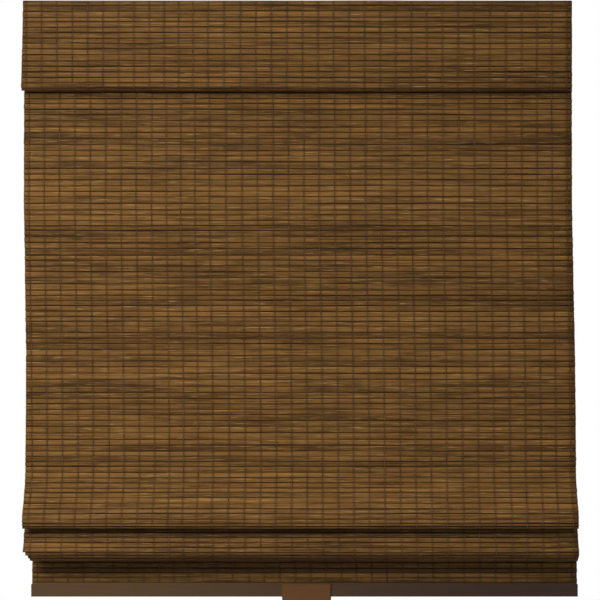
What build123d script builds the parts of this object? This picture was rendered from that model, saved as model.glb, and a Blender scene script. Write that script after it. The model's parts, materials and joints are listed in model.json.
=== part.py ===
from build123d import *
from math import floor, hypot, sqrt
import os

# Bamboo roman shade, 36 inches wide, hung from a timber headrail.
# The wall is the plane Y = 0, the front faces -Y, +Z is up, and the origin is the
# centre of the four wall screw holes in the two brackets.

# Overall and headrail
shade_width = 914.0
board_margin = 4.0
board_depth = 45.0
board_height = 19.0
board_rise = 22.5

# Woven mat: flat slats, and the thin web of yarn that joins them
slat_width = 8.4
slat_gap = 1.0
slat_thickness = 2.0
slat_bevel = 0.5
web_thickness = 0.7
thread_width = 1.6
thread_proud = 0.5
thread_pitch = 25.6
thread_margin = 7.0

# Valance
valance_height = 148.5
valance_hem_back = 4.5
valance_hem_rise = 26.0
valance_slat_width = 7.8
valance_nose = 5.0
lath_thickness = 15.0
lath_height = 32.0
brad_radius = 0.8
brad_length = 30.0
columns_per_brad = 8

# The hanging panel, from the top of the board down to its hem
straight_drop = 151.5
lean_drop = 642.0
lean_forward = 9.0
bulge_drop = 75.0
bulge_forward = 36.0

# The folds below the hem: their reach back and forward, and how far they rise and drop
hem_fold_back = 56.0
hem_fold_rise = 53.5
fold_out = 44.5
fold_down = 54.5
fold_face = 35.5
fold_tuck = 9.0
fold_belly_drop = 14.0
fold_belly_back = 15.0
fold_return_back = 36.0
fold_return_rise = 28.5
tail_drop = 68.0

# How far each layer hangs to the right of the headrail
panel_drift = 3.0
fold_drift = 7.0
tail_drift = 13.3

# Bottom rail and pull handle
rail_height = 23.0
rail_thickness = 10.0
rail_end_chamfer = 2.5
rail_edge = 0.8
rail_lap = 11.0
thread_stop = 3.0
handle_width = 84.0
handle_shift = 3.5
handle_taper = 1.3
handle_thickness = 4.0
handle_slope = 1.5
handle_lip = 6.0
handle_ledge = 3.0
handle_edge = 2.5
handle_top_gap = 1.2
handle_screw_pitch = 52.0
handle_screw_rise = 5.5

# Screws: shank radius, head radius, head thickness
fit_gap = 0.05
handle_screw = (1.75, 3.4, 2.2)
handle_screw_bite = 3.0
board_screw = (2.0, 4.0, 2.4)
board_screw_bite = 12.0
cover_screw = (1.5, 2.8, 1.6)
cover_screw_bite = 9.0

# Wall brackets
bracket_inset = 123.0
bracket_width = 34.0
bracket_sheet = 2.5
bracket_foot = 38.0
bracket_below = 19.0
wall_hole_pitch = 18.0
wall_hole_radius = 2.25
foot_hole_pitch = 16.0
foot_hole_back = 14.0

# Lift shaft, spools and cradles
shaft_drop = 20.5
shaft_back = 24.0
shaft_flats = 6.0
shaft_overhang = 6.0
spool_inset = 50.0
spool_length = 34.0
spool_radius = 8.0
spool_taper = 1.0
flange_radius = 11.0
flange_thickness = 1.6
journal_radius = 5.0
running_gap = 0.06
side_gap = 0.4
cradle_sheet = 2.0
cradle_depth = 30.0
cradle_below = 14.5
cradle_hole_pitch = 20.0
clip_thickness = 1.0
clip_radius = 7.0

# Spring motor
motor_offset = 60.0
motor_length = 34.0
motor_wall = 2.0
motor_clear = 2.0
motor_hole_pitch = 16.0
drum_radius = 7.0
axle_radius = 2.0
coil_clear = 0.3
drive_coil = 2.2
storage_coil = 4.4
coil_gap = 4.8
spring_width = 20.0
band_thickness = 0.6
boss_radius = 3.4
boss_bite = 0.6

# Lift cord rings, and the eyes on the rail
ring_radius = 6.0
ring_wire = 0.8
panel_ring_pitch = 180.0
eye_shank = 8.0
eye_shank_radius = 1.2
eye_rise = 5.0

# Places worked out from the sizes above
board_top = board_rise + board_height
board_length = shade_width - 2 * board_margin
bracket_pitch = board_length - 2 * bracket_inset
spool_pitch = bracket_pitch - 2 * spool_inset
panel_y = -(board_depth + slat_thickness / 2)
lath_back = -(board_depth + slat_thickness + thread_proud)
lath_front = lath_back - lath_thickness
valance_y = lath_front - slat_thickness / 2
shaft_y = -shaft_back
shaft_z = board_rise - shaft_drop


def ahead(start, end, distance):
    """The point that lies a distance past start, on the way to end."""
    share = distance / hypot(end[0] - start[0], end[1] - start[1])
    return (start[0] + share * (end[0] - start[0]), start[1] + share * (end[1] - start[1]))


def aside(start, end, distance):
    """The sideways step, to the right of the way from start to end."""
    share = distance / hypot(end[0] - start[0], end[1] - start[1])
    return ((end[1] - start[1]) * share, -(end[0] - start[0]) * share)


def offset_line(route, distance):
    """The route moved sideways, to the right of its way, with mitred corners."""
    steps = [aside(start, end, distance) for start, end in zip(route, route[1:])]
    moved = []
    for point, a, b in zip(route, steps[:1] + steps, steps + steps[-1:]):
        across = (a[0] + b[0], a[1] + b[1])
        mitre = 2 * distance**2 / (across[0] ** 2 + across[1] ** 2)
        moved.append((point[0] + across[0] * mitre, point[1] + across[1] * mitre))
    return moved


def slat_middles(start, end, slat):
    """How far along a straight run the middle of each of its slats lies."""
    run = hypot(end[0] - start[0], end[1] - start[1])
    slats = floor(run / (slat + slat_gap) + 0.05)
    return [(number + 0.5) * run / slats for number in range(slats)]


def ridged_side(route, hand, slat):
    """One side of the mat: out over each slat, and in to the web between two slats."""
    web_line = offset_line(route, hand * web_thickness / 2)
    outline = [web_line[0]]
    for start, end, web_point in zip(route, route[1:], web_line[1:]):
        low = aside(start, end, hand * web_thickness / 2)
        high = aside(start, end, hand * slat_thickness / 2)
        for middle in slat_middles(start, end, slat):
            for reach, step in (
                (-slat / 2, low),
                (-slat / 2 + slat_bevel, high),
                (slat / 2 - slat_bevel, high),
                (slat / 2, low),
            ):
                place = ahead(start, end, middle + reach)
                outline.append((place[0] + step[0], place[1] + step[1]))
        outline.append(web_point)
    return outline


def mat_outline(route, slat):
    """The closed outline of a mat's section along a route of (y, z) points."""
    return ridged_side(route, 1, slat) + ridged_side(route, -1, slat)[::-1]


def thread_outline(route):
    """The section of a warp thread that lies on the mat's front."""
    inner = offset_line(route, slat_thickness / 2)
    outer = offset_line(route, slat_thickness / 2 + thread_proud)
    return inner + outer[::-1]


# The mat's centre line as (y, z) points, layer by layer
panel_top = (panel_y, board_top)
panel_lean = (panel_y, board_top - straight_drop)
panel_low = (panel_y - lean_forward, panel_lean[1] - lean_drop)
bulge_middle = (panel_low[0] - 0.50 * bulge_forward, panel_low[1] - 0.43 * bulge_drop)
bulge_front = (panel_low[0] - 0.95 * bulge_forward, panel_low[1] - 0.75 * bulge_drop)
hem = (panel_low[0] - bulge_forward, panel_low[1] - bulge_drop)
hem_under = (hem[0] + 1.5, hem[1] - 2.3)
hem_inside = (hem[0] + 4.0, hem[1] - 2.6)
hem_crease = (hem_inside[0] + hem_fold_back, hem_inside[1] + hem_fold_rise)
crease_back = (hem_crease[0] + 2.5, hem_crease[1] - 0.5)
crease_low = (hem_crease[0] + 2.9, hem_crease[1] - 3.5)
crease_end = (hem_crease[0] + 0.5, hem_crease[1] - 5.5)
panel_face = [panel_top, panel_lean, panel_low, bulge_middle, bulge_front, hem]
panel_route = panel_face + [hem_under, hem_inside, hem_crease, crease_back]

fold_top = (crease_end[0] - fold_out, crease_end[1] - fold_down)
fold_low = (fold_top[0] - fold_tuck, fold_top[1] - fold_face)
fold_belly = (fold_low[0] + 0.4 * fold_belly_back, fold_low[1] - 0.64 * fold_belly_drop)
fold_under = (fold_low[0] + fold_belly_back, fold_low[1] - fold_belly_drop)
fold_crease = (fold_under[0] + fold_return_back, fold_under[1] + fold_return_rise)
tail_back = (fold_crease[0] + 2.5, fold_crease[1] - 0.5)
tail_start = (fold_crease[0] + 4.5, fold_crease[1] - 3.0)
fold_face_line = [ahead(crease_end, fold_top, 0.5 * fold_down), fold_top, fold_low, fold_belly, fold_under]
fold_route = [crease_back, crease_low, crease_end, fold_top, fold_low, fold_belly, fold_under]
fold_route += [fold_crease, tail_back]

rail_top = tail_start[1] - tail_drop
rail_bottom = rail_top - rail_height
tail_y = tail_start[0] + 0.5
tail_end = (tail_y, rail_top + thread_stop)
rail_back = tail_y - slat_thickness / 2
rail_front = rail_back - rail_thickness
tail_route = [tail_back, tail_start, tail_end, (tail_y, rail_top - rail_lap)]

# The valance's centre line: down its face, round its hem and up behind
valance_bottom = board_top - valance_height
valance_inside = valance_y + valance_hem_back
valance_face = [
    (valance_y, board_top),
    (valance_y, valance_bottom + valance_nose),
    (valance_y + 0.58 * valance_hem_back, valance_bottom + web_thickness / 2),
]
valance_route = valance_face + [
    (valance_inside, valance_bottom + valance_nose / 2),
    (valance_inside, valance_bottom + valance_hem_rise),
]

# Threads stand in evenly spaced columns, and brads go between two columns
thread_count = floor((shade_width - 2 * thread_margin) / thread_pitch) + 1
thread_columns = [(number - (thread_count - 1) / 2) * thread_pitch for number in range(thread_count)]
brad_columns = [panel_drift + x + thread_pitch / 2 for x in thread_columns[1:-1:columns_per_brad]]
brad_z = board_rise + board_height / 2

# The motor is wide and deep enough for its two coils
drive_coil_radius = drum_radius + coil_clear + drive_coil
storage_coil_radius = drum_radius + coil_clear + storage_coil
storage_z = shaft_z - drive_coil_radius - coil_gap - storage_coil_radius
motor_half = storage_coil_radius + motor_clear + motor_wall
motor_bottom = storage_z - motor_half
motor_left = motor_offset - motor_length / 2
motor_right = motor_offset + motor_length / 2
drum_length = motor_length - 2 * motor_wall - 2 * side_gap
boss_y = motor_half - motor_wall - boss_radius + boss_bite
boss_z = shaft_z - drive_coil_radius - coil_gap / 2
shaft_axis = Axis((0, shaft_y, shaft_z), (1, 0, 0))

spools = (("left", -spool_pitch / 2), ("right", spool_pitch / 2))
brackets = (("left", -bracket_pitch / 2), ("right", bracket_pitch / 2))
bracket_holes = [
    (x, y)
    for side, x in brackets
    for y in (-foot_hole_back, -foot_hole_back - foot_hole_pitch)
]
cradle_holes = [
    (x, shaft_y + step) for side, x in spools for step in (-cradle_hole_pitch / 2, cradle_hole_pitch / 2)
]
motor_holes = [(motor_offset + step, shaft_y) for step in (-motor_hole_pitch / 2, motor_hole_pitch / 2)]
handle_x = tail_drift + handle_shift
handle_holes = [
    (handle_x + step, rail_bottom + handle_screw_rise)
    for step in (-handle_screw_pitch / 2, handle_screw_pitch / 2)
]
eye_holes = [(tail_drift + x, rail_bottom + eye_rise) for side, x in spools]

os.makedirs("parts", exist_ok=True)

# Headrail board, with pilot holes for its screws and brads
with BuildPart() as board:
    with BuildSketch(Plane.XY.offset(board_rise)):
        with Locations((0, -board_depth / 2)):
            Rectangle(board_length, board_depth)
    extrude(amount=board_height)
    for holes, sheet in (
        (bracket_holes, bracket_sheet),
        (cradle_holes, cradle_sheet),
        (motor_holes, motor_wall),
    ):
        with BuildSketch(Plane.XY.offset(board_rise)):
            with Locations(*holes):
                Circle(board_screw[0] + fit_gap)
        extrude(amount=board_screw_bite + 1 - sheet, mode=Mode.SUBTRACT)
    with BuildSketch(Plane.XZ.offset(board_depth)):
        with Locations(*[(x, brad_z) for x in brad_columns]):
            Circle(brad_radius + fit_gap)
    extrude(amount=-(brad_length - lath_thickness), mode=Mode.SUBTRACT)
board.part.label = "headrail_board"
export_step(board.part, "parts/headrail_board.step")

# Lath behind the valance
with BuildPart() as lath:
    with BuildSketch(Plane.XZ.offset(-lath_back)):
        with Locations((0, board_top - lath_height / 2)):
            Rectangle(board_length, lath_height)
        with Locations(*[(x, brad_z) for x in brad_columns]):
            Circle(brad_radius + fit_gap, mode=Mode.SUBTRACT)
    extrude(amount=lath_thickness)
lath.part.label = "valance_lath"
export_step(lath.part, "parts/valance_lath.step")

# Brads that hold the lath and the panel to the board
with BuildPart() as brads:
    with BuildSketch(Plane.XZ.offset(-lath_front)):
        with Locations(*[(x, brad_z) for x in brad_columns]):
            Circle(brad_radius)
    extrude(amount=-brad_length)
brads.part.label = "lath_brads"
export_step(brads.part, "parts/lath_brads.step")

# Shade mat: one woven sheet in three layers, each a little further right
with BuildPart() as mat:
    for route, drift in (
        (panel_route, panel_drift),
        (fold_route, fold_drift),
        (tail_route, tail_drift),
    ):
        with BuildSketch(Plane.YZ.offset(drift - shade_width / 2)):
            Polygon(*mat_outline(route, slat_width), align=None)
        extrude(amount=shade_width)
    with BuildSketch(Plane.XZ.offset(board_depth)):
        with Locations(*[(x, brad_z) for x in brad_columns]):
            Circle(brad_radius + fit_gap)
    extrude(amount=slat_thickness, mode=Mode.SUBTRACT)
mat.part.label = "shade_mat"
export_step(mat.part, "parts/shade_mat.step")

# Warp threads on the mat's front, in columns
with BuildPart() as threads:
    for route, drift in (
        (panel_face, panel_drift),
        (fold_face_line, fold_drift),
        ([tail_start, tail_end], tail_drift),
    ):
        columns = [Plane.YZ.offset(drift + x - thread_width / 2) for x in thread_columns]
        with BuildSketch(*columns):
            Polygon(*thread_outline(route), align=None)
        extrude(amount=thread_width)
threads.part.label = "warp_threads"
export_step(threads.part, "parts/warp_threads.step")

# Valance mat with its hem turned back
with BuildPart() as valance:
    with BuildSketch(Plane.YZ.offset(-shade_width / 2)):
        Polygon(*mat_outline(valance_route, valance_slat_width), align=None)
    extrude(amount=shade_width)
valance.part.label = "valance_mat"
export_step(valance.part, "parts/valance_mat.step")

# Warp threads on the valance
with BuildPart() as valance_threads:
    with BuildSketch(*[Plane.YZ.offset(x - thread_width / 2) for x in thread_columns]):
        Polygon(*thread_outline(valance_face), align=None)
    extrude(amount=thread_width)
valance_threads.part.label = "valance_threads"
export_step(valance_threads.part, "parts/valance_threads.step")

# Bottom rail
with BuildPart() as rail:
    with BuildSketch(Plane.XZ.offset(-rail_back)):
        with Locations((tail_drift, rail_top - rail_height / 2)):
            Rectangle(shade_width, rail_height)
    extrude(amount=rail_thickness)
    chamfer(rail.faces().sort_by(Axis.Z)[-1].edges().filter_by(Axis.Y), rail_end_chamfer)
    fillet(rail.faces().sort_by(Axis.Y)[0].edges().filter_by(Axis.X), rail_edge)
    with BuildSketch(Plane.XZ.offset(-rail_back)):
        with Locations(*handle_holes):
            Circle(handle_screw[0] + fit_gap)
    extrude(amount=rail_thickness, mode=Mode.SUBTRACT)
    with BuildSketch(Plane.XZ.offset(-rail_back)):
        with Locations(*handle_holes):
            Circle(handle_screw[1] + fit_gap)
    extrude(amount=handle_screw[2], mode=Mode.SUBTRACT)
    with BuildSketch(Plane.XZ.offset(-rail_back)):
        with Locations(*eye_holes):
            Circle(eye_shank_radius + fit_gap)
    extrude(amount=eye_shank, mode=Mode.SUBTRACT)
rail.part.label = "bottom_rail"
export_step(rail.part, "parts/bottom_rail.step")

# Pull handle: a tapered plate in front of the rail, with a ledge and a lip below it
handle_top = rail_top - handle_top_gap
handle_front = rail_front - handle_thickness
handle_bottom = rail_bottom - handle_lip
with BuildPart() as handle:
    with BuildSketch(Plane.YZ.offset(handle_x)):
        Polygon(
            (rail_front, handle_top),
            (handle_front, handle_top),
            (handle_front - handle_slope, handle_bottom),
            (handle_front - handle_slope + handle_thickness, handle_bottom),
            (rail_front, rail_bottom - handle_ledge),
            (rail_back, rail_bottom - handle_ledge),
            (rail_back, rail_bottom),
            (rail_front, rail_bottom),
            align=None,
        )
    extrude(amount=handle_width / 2, both=True)
    with BuildSketch(Plane.XZ.offset(-rail_back)):
        Polygon(
            (handle_x - handle_width / 2, handle_top),
            (handle_x + handle_width / 2, handle_top),
            (handle_x + handle_width / 2 - handle_taper, handle_bottom),
            (handle_x - handle_width / 2 + handle_taper, handle_bottom),
            align=None,
        )
    extrude(amount=rail_thickness + handle_thickness + handle_slope, mode=Mode.INTERSECT)
    face_edges = handle.faces().sort_by(Axis.Y)[0].edges().sort_by(Axis.X)
    chamfer([face_edges[0], face_edges[-1]], handle_edge)
    with BuildSketch(Plane.XZ.offset(-rail_front)):
        with Locations(*handle_holes):
            Circle(handle_screw[0] + fit_gap)
    extrude(amount=handle_screw_bite, mode=Mode.SUBTRACT)
handle.part.label = "pull_handle"
export_step(handle.part, "parts/pull_handle.step")

# Screws that hold the handle, from the back of the rail
with BuildPart() as handle_screws:
    with BuildSketch(Plane.XZ.offset(-rail_back)):
        with Locations(*handle_holes):
            Circle(handle_screw[1])
    extrude(amount=handle_screw[2])
    with BuildSketch(Plane.XZ.offset(-rail_back)):
        with Locations(*handle_holes):
            Circle(handle_screw[0])
    extrude(amount=rail_thickness + handle_screw_bite)
handle_screws.part.label = "handle_screws"
export_step(handle_screws.part, "parts/handle_screws.step")

# Wall brackets: a leg on the wall and a foot under the board
for side, x in brackets:
    with BuildPart() as bracket:
        with BuildSketch(Plane.YZ.offset(x - bracket_width / 2)):
            Polygon(
                (0, board_rise),
                (-bracket_foot, board_rise),
                (-bracket_foot, board_rise - bracket_sheet),
                (-bracket_sheet, board_rise - bracket_sheet),
                (-bracket_sheet, -bracket_below),
                (0, -bracket_below),
                align=None,
            )
        extrude(amount=bracket_width)
        with BuildSketch(Plane.XZ):
            with Locations((x, wall_hole_pitch / 2), (x, -wall_hole_pitch / 2)):
                Circle(wall_hole_radius)
        extrude(amount=bracket_sheet, mode=Mode.SUBTRACT)
        with BuildSketch(Plane.XY.offset(board_rise)):
            with Locations(*[hole for hole in bracket_holes if hole[0] == x]):
                Circle(board_screw[0] + fit_gap)
        extrude(amount=-bracket_sheet, mode=Mode.SUBTRACT)
    bracket.part.label = f"bracket_{side}"
    export_step(bracket.part, f"parts/bracket_{side}.step")

# Screws up into the board, through the brackets, the cradles and the motor
with BuildPart() as board_screws:
    for holes, sheet in (
        (bracket_holes, bracket_sheet),
        (cradle_holes, cradle_sheet),
        (motor_holes, motor_wall),
    ):
        with BuildSketch(Plane.XY.offset(board_rise - sheet)):
            with Locations(*holes):
                Circle(board_screw[1])
        extrude(amount=-board_screw[2])
        with BuildSketch(Plane.XY.offset(board_rise - sheet)):
            with Locations(*holes):
                Circle(board_screw[0])
        extrude(amount=board_screw_bite)
board_screws.part.label = "board_screws"
export_step(board_screws.part, "parts/board_screws.step")

# Lift shaft: a hexagon rod through both spools and the motor
shaft_half = spool_pitch / 2 + spool_length / 2 + side_gap + cradle_sheet + shaft_overhang
with BuildPart() as shaft:
    with BuildSketch(Plane.YZ):
        with Locations((shaft_y, shaft_z)):
            RegularPolygon(shaft_flats / 2, 6, major_radius=False)
    extrude(amount=shaft_half, both=True)
shaft.part.label = "lift_shaft"
export_step(shaft.part, "parts/lift_shaft.step")

# Cord spools, coned between two flanges, and the cradles that they turn in
journal_reach = spool_length / 2 + side_gap + cradle_sheet + side_gap
for side, x in spools:
    with BuildPart() as spool:
        with BuildSketch(Plane((x, shaft_y, shaft_z), x_dir=(1, 0, 0), z_dir=(0, -1, 0))):
            Polygon(
                (-journal_reach, 0),
                (-journal_reach, journal_radius),
                (-spool_length / 2, journal_radius),
                (-spool_length / 2, flange_radius),
                (-spool_length / 2 + flange_thickness, flange_radius),
                (-spool_length / 2 + flange_thickness, spool_radius),
                (spool_length / 2 - flange_thickness, spool_radius - spool_taper),
                (spool_length / 2 - flange_thickness, flange_radius),
                (spool_length / 2, flange_radius),
                (spool_length / 2, journal_radius),
                (journal_reach, journal_radius),
                (journal_reach, 0),
                align=None,
            )
        revolve(axis=shaft_axis)
        with BuildSketch(Plane.YZ.offset(x)):
            with Locations((shaft_y, shaft_z)):
                RegularPolygon(shaft_flats / 2 + fit_gap, 6, major_radius=False)
        extrude(amount=journal_reach, both=True, mode=Mode.SUBTRACT)
    spool.part.label = f"spool_{side}"
    export_step(spool.part, f"parts/spool_{side}.step")

    wall_inside = spool_length / 2 + side_gap
    wall_outside = wall_inside + cradle_sheet
    with BuildPart() as cradle:
        with BuildSketch(Plane.XZ.offset(-shaft_y - cradle_depth / 2)):
            Polygon(
                (x - wall_outside, board_rise),
                (x + wall_outside, board_rise),
                (x + wall_outside, -cradle_below),
                (x + wall_inside, -cradle_below),
                (x + wall_inside, board_rise - cradle_sheet),
                (x - wall_inside, board_rise - cradle_sheet),
                (x - wall_inside, -cradle_below),
                (x - wall_outside, -cradle_below),
                align=None,
            )
        extrude(amount=cradle_depth)
        with BuildSketch(Plane.YZ.offset(x)):
            with Locations((shaft_y, shaft_z)):
                Circle(journal_radius + running_gap)
        extrude(amount=wall_outside, both=True, mode=Mode.SUBTRACT)
        with BuildSketch(Plane.XY.offset(board_rise)):
            with Locations(*[hole for hole in cradle_holes if hole[0] == x]):
                Circle(board_screw[0] + fit_gap)
        extrude(amount=-cradle_sheet, mode=Mode.SUBTRACT)
    cradle.part.label = f"cradle_{side}"
    export_step(cradle.part, f"parts/cradle_{side}.step")

# Clips that keep the spools on the shaft
clip_planes = [
    Plane.YZ.offset(x + hand * journal_reach - (clip_thickness if hand < 0 else 0))
    for side, x in spools
    for hand in (-1, 1)
]
with BuildPart() as clips:
    with BuildSketch(*clip_planes):
        with Locations((shaft_y, shaft_z)):
            Circle(clip_radius)
            RegularPolygon(shaft_flats / 2 + fit_gap, 6, major_radius=False, mode=Mode.SUBTRACT)
    extrude(amount=clip_thickness)
clips.part.label = "shaft_clips"
export_step(clips.part, "parts/shaft_clips.step")

# Motor case: a box that is open on its right, with two bosses for the cover's screws
case_depth = 2 * motor_half
case_top = board_rise
case_height = case_top - motor_bottom
with BuildPart() as case:
    with BuildSketch(Plane.YZ.offset(motor_left)):
        with Locations((shaft_y, case_top - case_height / 2)):
            Rectangle(case_depth, case_height)
    extrude(amount=motor_length - motor_wall)
    with BuildSketch(Plane.YZ.offset(motor_left + motor_wall)):
        with Locations((shaft_y, case_top - case_height / 2)):
            Rectangle(case_depth - 2 * motor_wall, case_height - 2 * motor_wall)
    extrude(amount=motor_length - 2 * motor_wall, mode=Mode.SUBTRACT)
    with BuildSketch(Plane.YZ.offset(motor_left)):
        with Locations((shaft_y - boss_y, boss_z), (shaft_y + boss_y, boss_z)):
            Circle(boss_radius)
    extrude(amount=motor_length - motor_wall)
    with BuildSketch(Plane.YZ.offset(motor_right - motor_wall)):
        with Locations((shaft_y - boss_y, boss_z), (shaft_y + boss_y, boss_z)):
            Circle(cover_screw[0] + fit_gap)
    extrude(amount=-cover_screw_bite, mode=Mode.SUBTRACT)
    with BuildSketch(Plane.YZ.offset(motor_left)):
        with Locations((shaft_y, shaft_z)):
            Circle(journal_radius + running_gap)
        with Locations((shaft_y, storage_z)):
            Circle(axle_radius + fit_gap)
    extrude(amount=motor_wall, mode=Mode.SUBTRACT)
    with BuildSketch(Plane.XY.offset(board_rise)):
        with Locations(*motor_holes):
            Circle(board_screw[0] + fit_gap)
    extrude(amount=-motor_wall, mode=Mode.SUBTRACT)
case.part.label = "motor_case"
export_step(case.part, "parts/motor_case.step")

# Motor cover
with BuildPart() as cover:
    with BuildSketch(Plane.YZ.offset(motor_right - motor_wall)):
        with Locations((shaft_y, case_top - case_height / 2)):
            Rectangle(case_depth, case_height)
        with Locations((shaft_y, shaft_z)):
            Circle(journal_radius + running_gap, mode=Mode.SUBTRACT)
        with Locations((shaft_y, storage_z)):
            Circle(axle_radius + fit_gap, mode=Mode.SUBTRACT)
        with Locations((shaft_y - boss_y, boss_z), (shaft_y + boss_y, boss_z)):
            Circle(cover_screw[0] + fit_gap, mode=Mode.SUBTRACT)
    extrude(amount=motor_wall)
cover.part.label = "motor_cover"
export_step(cover.part, "parts/motor_cover.step")

# Screws through the cover into the case's bosses
with BuildPart() as cover_screws:
    with BuildSketch(Plane.YZ.offset(motor_right)):
        with Locations((shaft_y - boss_y, boss_z), (shaft_y + boss_y, boss_z)):
            Circle(cover_screw[1])
    extrude(amount=cover_screw[2])
    with BuildSketch(Plane.YZ.offset(motor_right)):
        with Locations((shaft_y - boss_y, boss_z), (shaft_y + boss_y, boss_z)):
            Circle(cover_screw[0])
    extrude(amount=-cover_screw_bite)
cover_screws.part.label = "cover_screws"
export_step(cover_screws.part, "parts/cover_screws.step")

# Drive drum: it turns with the shaft, on journals in the case and the cover
with BuildPart() as drive_drum:
    with BuildSketch(Plane.YZ.offset(motor_offset)):
        with Locations((shaft_y, shaft_z)):
            Circle(drum_radius)
    extrude(amount=drum_length / 2, both=True)
    with BuildSketch(Plane.YZ.offset(motor_offset)):
        with Locations((shaft_y, shaft_z)):
            Circle(journal_radius)
    extrude(amount=motor_length / 2, both=True)
    with BuildSketch(Plane.YZ.offset(motor_offset)):
        with Locations((shaft_y, shaft_z)):
            RegularPolygon(shaft_flats / 2 + fit_gap, 6, major_radius=False)
    extrude(amount=motor_length / 2, both=True, mode=Mode.SUBTRACT)
drive_drum.part.label = "drive_drum"
export_step(drive_drum.part, "parts/drive_drum.step")

# Storage drum and its axle
with BuildPart() as storage_drum:
    with BuildSketch(Plane.YZ.offset(motor_offset)):
        with Locations((shaft_y, storage_z)):
            Circle(drum_radius)
            Circle(axle_radius + running_gap, mode=Mode.SUBTRACT)
    extrude(amount=drum_length / 2, both=True)
storage_drum.part.label = "storage_drum"
export_step(storage_drum.part, "parts/storage_drum.step")

with BuildPart() as axle:
    with BuildSketch(Plane.YZ.offset(motor_left)):
        with Locations((shaft_y, storage_z)):
            Circle(axle_radius)
    extrude(amount=motor_length)
axle.part.label = "storage_axle"
export_step(axle.part, "parts/storage_axle.step")

# Power spring: a coil round each drum and the band that crosses between them
drive_band = drive_coil_radius - band_thickness / 2
storage_band = storage_coil_radius - band_thickness / 2
band_sine = (drive_band + storage_band) / (shaft_z - storage_z)
band_way = (sqrt(1 - band_sine**2), -band_sine)
band_start = (shaft_y + drive_band * band_way[0], shaft_z + drive_band * band_way[1])
band_end = (shaft_y - storage_band * band_way[0], storage_z - storage_band * band_way[1])
band_side = aside(band_start, band_end, band_thickness / 2)
with BuildPart() as spring:
    with BuildSketch(Plane.YZ.offset(motor_offset)):
        Polygon(
            (band_start[0] - band_side[0], band_start[1] - band_side[1]),
            (band_end[0] - band_side[0], band_end[1] - band_side[1]),
            (band_end[0] + band_side[0], band_end[1] + band_side[1]),
            (band_start[0] + band_side[0], band_start[1] + band_side[1]),
            align=None,
        )
        with Locations((shaft_y, shaft_z)):
            Circle(drive_coil_radius)
            Circle(drum_radius + coil_clear, mode=Mode.SUBTRACT)
        with Locations((shaft_y, storage_z)):
            Circle(storage_coil_radius)
            Circle(drum_radius + coil_clear, mode=Mode.SUBTRACT)
    extrude(amount=spring_width / 2, both=True)
spring.part.label = "power_spring"
export_step(spring.part, "parts/power_spring.step")

# Rings on the back of the panel, in rows above each other
tube_radius = ring_radius - ring_wire
lean_run = slat_middles(panel_lean, panel_low, slat_width)
row_step = floor(panel_ring_pitch / (slat_width + slat_gap))
ring_rows = [ahead(panel_lean, panel_low, middle) for middle in lean_run[row_step::row_step]]
with BuildPart() as panel_rings:
    for row in ring_rows:
        ring_y = row[0] + slat_thickness / 2 + ring_radius + fit_gap
        with Locations(*[(x + panel_drift, ring_y, row[1]) for side, x in spools]):
            Torus(tube_radius, ring_wire)
panel_rings.part.label = "panel_rings"
export_step(panel_rings.part, "parts/panel_rings.step")

# Rings at the two creases of the stack
with BuildPart() as stack_rings:
    for crease, drift in ((crease_low, panel_drift), (tail_start, fold_drift)):
        ring_y = crease[0] + web_thickness / 2 + ring_radius + fit_gap
        with Locations(*[(x + drift, ring_y, crease[1]) for side, x in spools]):
            Torus(tube_radius, ring_wire)
stack_rings.part.label = "stack_rings"
export_step(stack_rings.part, "parts/stack_rings.step")

# Screw eyes on the back of the rail, for the ends of the lift cords
with BuildPart() as eyes:
    with BuildSketch(Plane.XZ.offset(-rail_back + eye_shank)):
        with Locations(*eye_holes):
            Circle(eye_shank_radius)
    extrude(amount=-(eye_shank + ring_wire))
    with Locations(*[(x, rail_back + ring_radius, z) for x, z in eye_holes]):
        Torus(tube_radius, ring_wire)
eyes.part.label = "rail_eyes"
export_step(eyes.part, "parts/rail_eyes.step")
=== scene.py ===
# %% [markdown]
# # A bamboo roman shade
#
# The shade is a mat of flat bamboo slats that are woven together with brown yarn. It hangs from
# a timber headrail, a short valance hides the headrail, and at the foot the mat lies in folds
# above a wooden bottom rail with a pull handle.
#
# The measured model comes first, as a fixed frame. Each new piece takes its place from it, so
# nothing has to be fitted by eye. Lengths are in metres, +Z is up and the front faces -Y.

# %% Load the frame
import json
import math

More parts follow.
